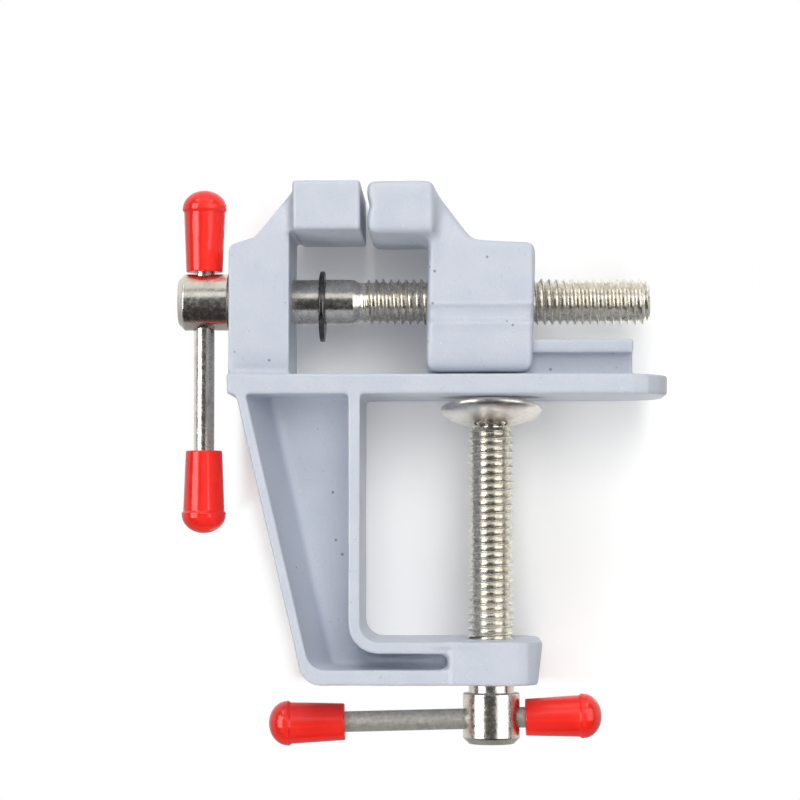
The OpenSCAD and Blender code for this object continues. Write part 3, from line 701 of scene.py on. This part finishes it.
def snap_ring(material):
    """A flat C, extruded along X with rounded edges."""
    outline = ring_outline()
    bm = bmesh.new()
    low = [bm.verts.new((0, y, z)) for y, z in outline]
    high = [bm.verts.new((RING_THICKNESS, y, z)) for y, z in outline]
    bm.faces.new(low)
    bm.faces.new(high[::-1])
    for k in range(len(outline)):
        after = (k + 1) % len(outline)
        bm.faces.new((low[k], high[k], high[after], low[after]))
    bmesh.ops.recalc_face_normals(bm, faces=bm.faces)
    sharp = math.radians(SHEET_CREASE)
    edges = [e for e in bm.edges if len(e.link_faces) == 2 and e.calc_face_angle() > sharp]
    bmesh.ops.bevel(
        bm, geom=edges, offset=RING_ROUNDING, segments=RING_ROUNDING_STEPS,
        profile=ROUND_BEVEL, affect="EDGES",
    )
    mesh = finished_mesh(bm, "retaining_ring", Matrix.Translation((RING_X, 0, JAW_SCREW_Z)))
    piece = show(mesh, "retaining_ring_rounded", material, SHEET_CREASE)
    stands_for(piece, "retaining_ring", "jaw_screw")


# Bars and their soft caps


def at_jaw_bar(height):
    """The place on the jaw screw's bar at that height."""
    return Matrix.Translation((JAW_BAR_X, 0, height))


def at_clamp_bar(along):
    """The place on the clamp screw's bar that far to the right of its middle."""
    lean = Matrix.Rotation(math.radians(90 - CLAMP_BAR_TILT), 4, "Y")
    return Matrix.Translation((0, 0, CLAMP_BAR_Z)) @ lean @ Matrix.Translation((0, 0, along))


def bar(node, length, place, material):
    """A bar along Z from 0 to length, with rounded ends."""
    profile = rounded([
        (0, 0), (BAR_RADIUS, 0, BAR_ROUNDING), (BAR_RADIUS, length, BAR_ROUNDING), (0, length),
    ])
    turned(profile, node, node, material, place)


def end_cap(node, body, length, place, material):
    """A dipped vinyl cap along Z with its tip at 0, its open end at -length and a ridge."""
    inside, outside = CAP_MOUTH_ROUNDINGS
    foot = -CAP_DOME
    ridge = CAP_RADIUS + CAP_RIDGE
    profile = rounded([
        (0, -CAP_END), (CAP_HOLE_RADIUS, -CAP_END), (CAP_HOLE_RADIUS, -length, inside),
        (CAP_MOUTH_RADIUS, -length, outside),
        (CAP_BODY_RADIUS, foot - CAP_BODY_BELOW, CAP_BODY_ROUNDING),
        (ridge - CAP_RIDGE_FOOT, foot - CAP_RIDGE_BELOW, CAP_RIDGE_ROUNDING),
        (ridge, foot, CAP_RIDGE_ROUNDING),
    ])
    dome = (CAP_RADIUS - CAP_DOME_INSET, CAP_DOME)
    profile += ellipse((0, foot), dome, *CAP_DOME_ARC, CAP_DOME_STEPS)
    profile.append(Vector((0, 0)))
    turned(profile, node, body, material, place, crease=CAP_CREASE)


def span(corners):
    """The lowest and the highest point of a box with those two corners, in millimetres."""
    return [corner.z / MM for corner in corners]


def bars_and_caps(plated, worn, vinyl):
    """Both sliding bars, each with a cap at both ends."""
    low, high = span(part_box("jaw_bar"))
    bar("jaw_bar", high - low, at_jaw_bar(low), plated)
    low, high = span(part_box("jaw_bar_cap_top"))
    end_cap("jaw_bar_cap_top", "jaw_bar", high - low, at_jaw_bar(high), vinyl)
    low, high = span(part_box("jaw_bar_cap_bottom"))
    lower_end = at_jaw_bar(low) @ UPSIDE_DOWN
    end_cap("jaw_bar_cap_bottom", "jaw_bar", high - low, lower_end, vinyl)

    left, right = CLAMP_BAR_ENDS
    bar("clamp_bar", right - left - 2 * CAP_END, at_clamp_bar(left + CAP_END), worn)
    left_end = at_clamp_bar(left) @ UPSIDE_DOWN
    end_cap("clamp_bar_cap_left", "clamp_bar", CLAMP_CAP_LENGTH, left_end, vinyl)
    end_cap("clamp_bar_cap_right", "clamp_bar", CLAMP_CAP_LENGTH, at_clamp_bar(right), vinyl)


# Swivel ball and pad


def swivel_ball(material):
    """A ball cut flat above and below, with a hole for the clamp screw's pin."""
    low, high = BALL_HEIGHTS
    start, end = (math.degrees(math.asin(cut / BALL_RADIUS)) for cut in BALL_HEIGHTS)
    side = ellipse((0, 0), (BALL_RADIUS, BALL_RADIUS), start, end, BALL_STEPS)
    profile = [(BALL_HOLE_RADIUS, low)] + side + [(BALL_HOLE_RADIUS, high)]
    turned(
        profile, "swivel_ball", "swivel", material, AT_BALL,
        closed=True, crease=SHEET_CREASE,
    )


def clamp_pad(material):
    """A stamped dish with a round rim and a hole for the ball, tilted with its front edge up."""
    middle = PAD_RIM - PAD_SHEET / 2
    walls = []
    for inset in (0, PAD_SHEET):
        radius, depth = PAD_RADIUS - inset, middle - PAD_BOTTOM - inset
        foot = math.degrees(math.acos(PAD_HOLE_RADIUS / radius))
        walls.append(ellipse((0, middle), (radius, depth), 0, -foot, PAD_STEPS))
    rim_centre = (PAD_RADIUS - PAD_SHEET / 2, middle)
    rim = ellipse(rim_centre, (PAD_SHEET / 2, PAD_SHEET / 2), 180, 0, PAD_RIM_STEPS)
    profile = walls[0] + walls[1][::-1] + rim[1:-1]
    tilt = Matrix.Rotation(-math.radians(PAD_TILT), 4, "X")
    turned(
        profile, "clamp_pad", "clamp_pad", material, AT_BALL @ tilt,
        closed=True, crease=SHEET_CREASE,
    )


# Materials. Textures read object coordinates, in metres, so a scale is the number of features in a
# metre. Sizes and depths are written in millimetres


def surface(name, **values):
    """A material, its tree's helper and its shader, with the values that are the same all over."""
    material = bpy.data.materials.new(name)
    material.use_nodes = True
    shader = material.node_tree.nodes["Principled BSDF"]
    for socket, value in values.items():
        shader.inputs[socket.replace("_", " ").title()].default_value = value
    return material, Tree(material.node_tree), shader


def object_place(t):
    """The place on the object that a texture is read at."""
    return t.node("ShaderNodeTexCoord").outputs["Object"]


def cloud(t, size, detail, low, high, stretch=(1, 1, 1)):
    """Soft patches of that size: 0 where the noise is below low, 1 where it is above high."""
    return t.remap(rough_cloud(t, size, detail, stretch), low, high)


def rough_cloud(t, size, detail, stretch=(1, 1, 1)):
    """Noise with features of that size."""
    place = t.node("ShaderNodeMapping", {"Vector": object_place(t), "Scale": stretch})
    values = {"Vector": place.outputs[0], "Scale": 1 / (size * MM), "Detail": detail}
    return t.node("ShaderNodeTexNoise", values).outputs[0]


def spots(t, spacing, radius):
    """Round spots of that radius, about that far apart, with soft edges."""
    values = {"Vector": object_place(t), "Scale": 1 / (spacing * MM)}
    distance = t.node("ShaderNodeTexVoronoi", values).outputs["Distance"]
    edge = radius / spacing
    return t.remap(distance, SPOT_FADES_FROM * edge, edge, 1.0, 0.0)


def mixed(t, factor, below, above):
    """One colour laid over another by a factor. Each is three numbers or a socket."""
    below, above = (
        colour if isinstance(colour, bpy.types.NodeSocket) else (*colour, 1)
        for colour in (below, above)
    )
    values = {0: factor, 6: below, 7: above}
    return t.node("ShaderNodeMix", values, data_type="RGBA").outputs[2]


def relief(t, shader, layers):
    """Bumps from (height socket, depth) layers, one on the other."""
    normal = None
    for height, depth in layers:
        values = {"Height": height, "Strength": 1.0, "Distance": depth * MM}
        if normal:
            values["Normal"] = normal
        normal = t.node("ShaderNodeBump", values).outputs[0]
    t.tree.links.new(normal, shader.inputs["Normal"])


def feed(t, shader, colour, roughness):
    """Joins a colour and a roughness to a shader."""
    t.tree.links.new(colour, shader.inputs["Base Color"])
    t.tree.links.new(roughness, shader.inputs["Roughness"])


def specks(t):
    """Dark specks, in places only, and mostly behind the rims of the casting."""
    across = t.node("ShaderNodeSeparateXYZ", {0: object_place(t)}).outputs[1]
    behind_rims = t.remap(t.math("ABSOLUTE", across), *SPECKS_BEHIND, 1.0, SPECKS_OUTSIDE)
    in_places = cloud(t, size=7.0, detail=0.0, low=0.47, high=0.55)
    dirt = t.math("MULTIPLY", spots(t, SPECK_SPACING, SPECK_RADIUS), in_places)
    return t.math("MULTIPLY", dirt, behind_rims)


def cast_alloy():
    """Satin aluminium as cast: pale blue grey, faintly blotchy, with grain, pits, dark specks and
    painted glints.
    """
    material, t, shader = surface("cast_alloy", metallic=0.0)
    blotches = cloud(t, size=5.0, detail=4.0, low=0.35, high=0.65)
    grain = cloud(t, size=0.35, detail=3.0, low=0.3, high=0.7)
    pits = cloud(t, size=0.45, detail=1.0, low=0.70, high=0.78)
    # Painted highlight: pale spots laid into the colour that stand for glints of light on the
    # casting
    painted_glints = cloud(t, size=0.22, detail=0.0, low=0.76, high=0.82)
    darker, paler = (0.555, 0.595, 0.68), (0.585, 0.615, 0.685)
    colour = mixed(t, blotches, darker, paler)
    for mask, strength, shade in (
        (grain, 0.14, (0.45, 0.49, 0.56)),
        (pits, 0.4, (0.32, 0.35, 0.40)),
        (painted_glints, 0.5, (0.85, 0.87, 0.92)),
        (specks(t), 0.8, (0.16, 0.175, 0.20)),
    ):
        colour = mixed(t, t.math("MULTIPLY", mask, strength), colour, shade)
    roughness = t.remap(blotches, 0, 1, to_low=0.36, to_high=0.46)
    feed(t, shader, colour, roughness)
    dents = rough_cloud(t, size=1.2, detail=3.0)
    skin = rough_cloud(t, size=0.25, detail=2.0)
    relief(t, shader, [(dents, 0.05), (skin, 0.02)])
    return material


def uneven(name, metallic, stains, colours, polish, roughness, bumps):
    """A finish with stains from a first to a second colour and patches of more and less polish.

    Stains are their size, detail, and lowest and highest noise. Polish is the size and detail of
    its patches. Roughness goes from the first to the second number. Bumps are size, detail, depth.
    """
    material, t, shader = surface(name, metallic=metallic)
    colour = mixed(t, cloud(t, *stains), *colours)
    patches = rough_cloud(t, *polish)
    feed(t, shader, colour, t.remap(patches, *NOISE_RANGE, *roughness))
    relief(t, shader, [(rough_cloud(t, size, detail), depth) for size, detail, depth in bumps])
    return material


def nickel_plate():
    """Bright nickel on turned steel, a little uneven, so that reflections waver."""
    return uneven(
        "nickel_plate", metallic=1.0, stains=(1.6, 4.0, 0.35, 0.7),
        colours=[(0.80, 0.76, 0.69), (0.62, 0.585, 0.53)],
        polish=(0.7, 3.0), roughness=(0.16, 0.32), bumps=[(1.5, 2.0, 0.03), (0.3, 2.0, 0.006)],
    )


def rolled_nickel():
    """Nickel on rolled threads: softer reflections, with dirt in places."""
    return uneven(
        "rolled_nickel", metallic=1.0, stains=(0.8, 4.0, 0.35, 0.7),
        colours=[(0.90, 0.86, 0.78), (0.66, 0.63, 0.56)],
        polish=(0.5, 3.0), roughness=(0.2, 0.3), bumps=[(0.8, 2.0, 0.012), (0.2, 2.0, 0.004)],
    )


def satin_nickel():
    """Nickel on pressed sheet: softer reflections than on turned steel."""
    return uneven(
        "satin_nickel", metallic=1.0, stains=(1.2, 4.0, *NOISE_RANGE),
        colours=[(0.93, 0.90, 0.84), (0.78, 0.74, 0.69)],
        polish=(0.9, 3.0), roughness=(0.3, 0.42), bumps=[(1.8, 3.0, 0.05), (0.3, 2.0, 0.01)],
    )


def worn_zinc():
    """Duller, rougher zinc plate, scratched by sliding through its hole."""
    material, t, shader = surface("worn_zinc", metallic=0.7)
    stains = cloud(t, size=0.8, detail=5.0, low=0.3, high=0.7)
    scratches = cloud(t, size=0.25, detail=2.0, low=0.45, high=0.7, stretch=(0.15, 1, 1))
    clean, stained = (0.66, 0.64, 0.585), (0.46, 0.445, 0.405)
    colour = mixed(t, stains, clean, stained)
    roughness = t.remap(scratches, 0, 1, to_low=0.42, to_high=0.62)
    feed(t, shader, colour, roughness)
    dents = rough_cloud(t, size=0.5, detail=3.0)
    relief(t, shader, [(dents, 0.05), (scratches, 0.012)])
    return material


def dark_steel():
    """The washer's oiled steel, rougher where it is stained."""
    return uneven(
        "dark_steel", metallic=1.0, stains=(0.6, 3.0, *NOISE_RANGE),
        colours=[(0.28, 0.27, 0.26), (0.17, 0.165, 0.16)],
        polish=(0.6, 3.0), roughness=(0.3, 0.45), bumps=[(0.3, 2.0, 0.01)],
    )


def black_spring_steel():
    """Black oxide with a slight sheen."""
    return uneven(
        "black_spring_steel", metallic=1.0, stains=(0.5, 3.0, *NOISE_RANGE),
        colours=[(0.15, 0.145, 0.14), (0.09, 0.087, 0.088)],
        polish=(0.5, 3.0), roughness=(0.2, 0.35), bumps=[(0.25, 2.0, 0.008)],
    )


def red_vinyl():
    """Glossy dipped vinyl, slightly uneven."""
    return uneven(
        "red_vinyl", metallic=0.0, stains=(4.0, 3.0, *NOISE_RANGE),
        colours=[(0.98, 0.026, 0.016), (0.92, 0.018, 0.011)],
        polish=(1.0, 3.0), roughness=(0.10, 0.20), bumps=[(2.2, 2.0, 0.05), (0.3, 2.0, 0.004)],
    )


# Studio


def camera():
    """The camera at the photograph's viewing angle."""
    data = bpy.data.cameras.new("camera")
    data.sensor_width = SENSOR_WIDTH
    data.lens = FOCAL_LENGTH
    item = linked("camera", data)
    item.location = CAMERA_PLACE
    item.rotation_euler = (CAMERA_TARGET - CAMERA_PLACE).to_track_quat("-Z", "Y").to_euler()
    bpy.context.scene.camera = item


def softbox(name, right, above, width, height, watts):
    """A soft lamp at LAMP_DISTANCE from the vise, for matt faces or as a gleam on shiny ones."""
    right, above = math.radians(right), math.radians(above)
    level = math.cos(above)
    way = Vector((math.sin(right) * level, -math.cos(right) * level, math.sin(above)))
    data = bpy.data.lights.new(name, "AREA")
    data.shape = "RECTANGLE"
    data.size = width
    data.size_y = height
    data.energy = watts
    lamp = linked(name, data)
    lamp.location = CAMERA_TARGET + way * LAMP_DISTANCE
    lamp.rotation_euler = (-way).to_track_quat("-Z", "Y").to_euler()
    lamp.visible_camera = False
    lamp.visible_diffuse = name in LAMPS
    lamp.visible_glossy = name in GLEAMS


def sky():
    """White for the camera, with a table's glow behind the vise and a darker room before it."""
    world = bpy.data.worlds.new("studio")
    world.use_nodes = True
    world.node_tree.nodes.clear()
    t = Tree(world.node_tree)
    path = t.node("ShaderNodeLightPath").outputs
    direction = t.node("ShaderNodeTexCoord").outputs["Generated"]
    along = t.node("ShaderNodeSeparateXYZ", {0: direction}).outputs
    matt = t.remap(along[1], -SKY_MATT_BORDER, SKY_MATT_BORDER, *SKY_MATT)
    shiny = t.remap(along[1], -SKY_SHINY_BORDER, SKY_SHINY_BORDER, *SKY_SHINY)
    shiny = t.math("MULTIPLY", shiny, t.remap(along[2], *SKY_BELOW_HEIGHTS, SKY_BELOW, 1.0))
    overhead = t.remap(along[2], *SKY_OVERHEAD_HEIGHTS, 0.0, SKY_OVERHEAD)
    shiny = t.math("MAXIMUM", shiny, overhead)
    level = t.node("ShaderNodeMix", {0: path["Is Diffuse Ray"], 2: shiny, 3: matt}).outputs[0]
    level = t.node("ShaderNodeMix", {0: path["Is Camera Ray"], 2: level, 3: 1.0}).outputs[0]
    light = t.node("ShaderNodeBackground", {"Color": WHITE, "Strength": level})
    t.node("ShaderNodeOutputWorld", {"Surface": light.outputs[0]})
    bpy.context.scene.world = world
    bpy.context.scene.view_settings.view_transform = "Standard"


def table_share(t):
    """1 on the table, fading to 0 at its four edges and along the leg."""
    place = t.node("ShaderNodeSeparateXYZ", {0: object_place(t)}).outputs
    x, z = place[0], place[2]
    left = t.math("SUBTRACT", x, TABLE_X[0] * MM)
    upper = t.math("MINIMUM", left, t.math("SUBTRACT", z, TABLE_CORNER_Z * MM))
    line_x, line_z = TABLE_LEG_EDGE
    leaning = t.math("ADD", x, t.math("MULTIPLY", z, TABLE_LEG_LEAN))
    beside_leg = t.math("SUBTRACT", leaning, (line_x + TABLE_LEG_LEAN * line_z) * MM)
    left = t.math("MAXIMUM", upper, t.math("MINIMUM", left, beside_leg))
    share = 1.0
    for distance, fade in (
        (t.math("SUBTRACT", TABLE_X[1] * MM, x), TABLE_FADE),
        (t.math("SUBTRACT", TABLE_Z[1] * MM, z), TABLE_FADE),
        (t.math("SUBTRACT", z, TABLE_Z[0] * MM), TABLE_FADE_BELOW),
        (left, TABLE_FADE_LEFT),
    ):
        inside = t.remap(distance, 0.0, fade * MM, kind="SMOOTHSTEP")
        share = t.math("MULTIPLY", share, inside)
    return share


def pale_table():
    """White paper that takes shadows, fades to white at its edges and is clear from behind."""
    material = bpy.data.materials.new("pale_table")
    material.use_nodes = True
    material.node_tree.nodes.clear()
    t = Tree(material.node_tree)
    path = t.node("ShaderNodeLightPath").outputs
    seen_white = t.math("MAXIMUM", path["Is Camera Ray"], path["Is Glossy Ray"])
    whiter = t.math("ADD", 1.0, t.math("MULTIPLY", seen_white, TABLE_WHITER - 1))
    colour = t.node("ShaderNodeVectorMath", {0: TABLE_COLOUR, 3: whiter}, operation="SCALE")
    paper = t.node("ShaderNodeBsdfDiffuse", {"Color": colour.outputs[0]}).outputs[0]
    white = t.node("ShaderNodeEmission", {"Color": WHITE, "Strength": 1.0}).outputs[0]
    seen = t.node("ShaderNodeMixShader", {0: table_share(t), 1: white, 2: paper}).outputs[0]
    behind = t.node("ShaderNodeNewGeometry").outputs["Backfacing"]
    clear = t.node("ShaderNodeBsdfTransparent").outputs[0]
    both = t.node("ShaderNodeMixShader", {0: behind, 1: seen, 2: clear}).outputs[0]
    t.node("ShaderNodeOutputMaterial", {"Surface": both})
    material.cycles.emission_sampling = "NONE"
    return material


def table():
    """The table under the vise, which casts no shadow itself."""
    bm = bmesh.new()
    (left, right), (low, high) = TABLE_X, TABLE_Z
    corners = [(left, low), (right, low), (right, high), (left, high)]
    bm.faces.new([bm.verts.new(Vector((x, TABLE_Y, z)) * MM) for x, z in corners])
    mesh = plain_mesh(bm, "table")
    mesh.materials.append(pale_table())
    board = linked("table", mesh)
    board.visible_shadow = False


camera()
sky()
table()
for lamp_name, lamp_values in {**LAMPS, **GLEAMS}.items():
    softbox(lamp_name, *lamp_values)

alloy = cast_alloy()
casting("frame", alloy, frame_relief)
casting("moving_jaw", alloy, jaw_relief)
nickel = nickel_plate()
screw_metals = (nickel, rolled_nickel())
jaw_screw(screw_metals)
clamp_screw(screw_metals)
swivel_ball(nickel)
clamp_pad(satin_nickel())
washer(dark_steel())
snap_ring(black_spring_steel())
bars_and_caps(nickel, worn_zinc(), red_vinyl())
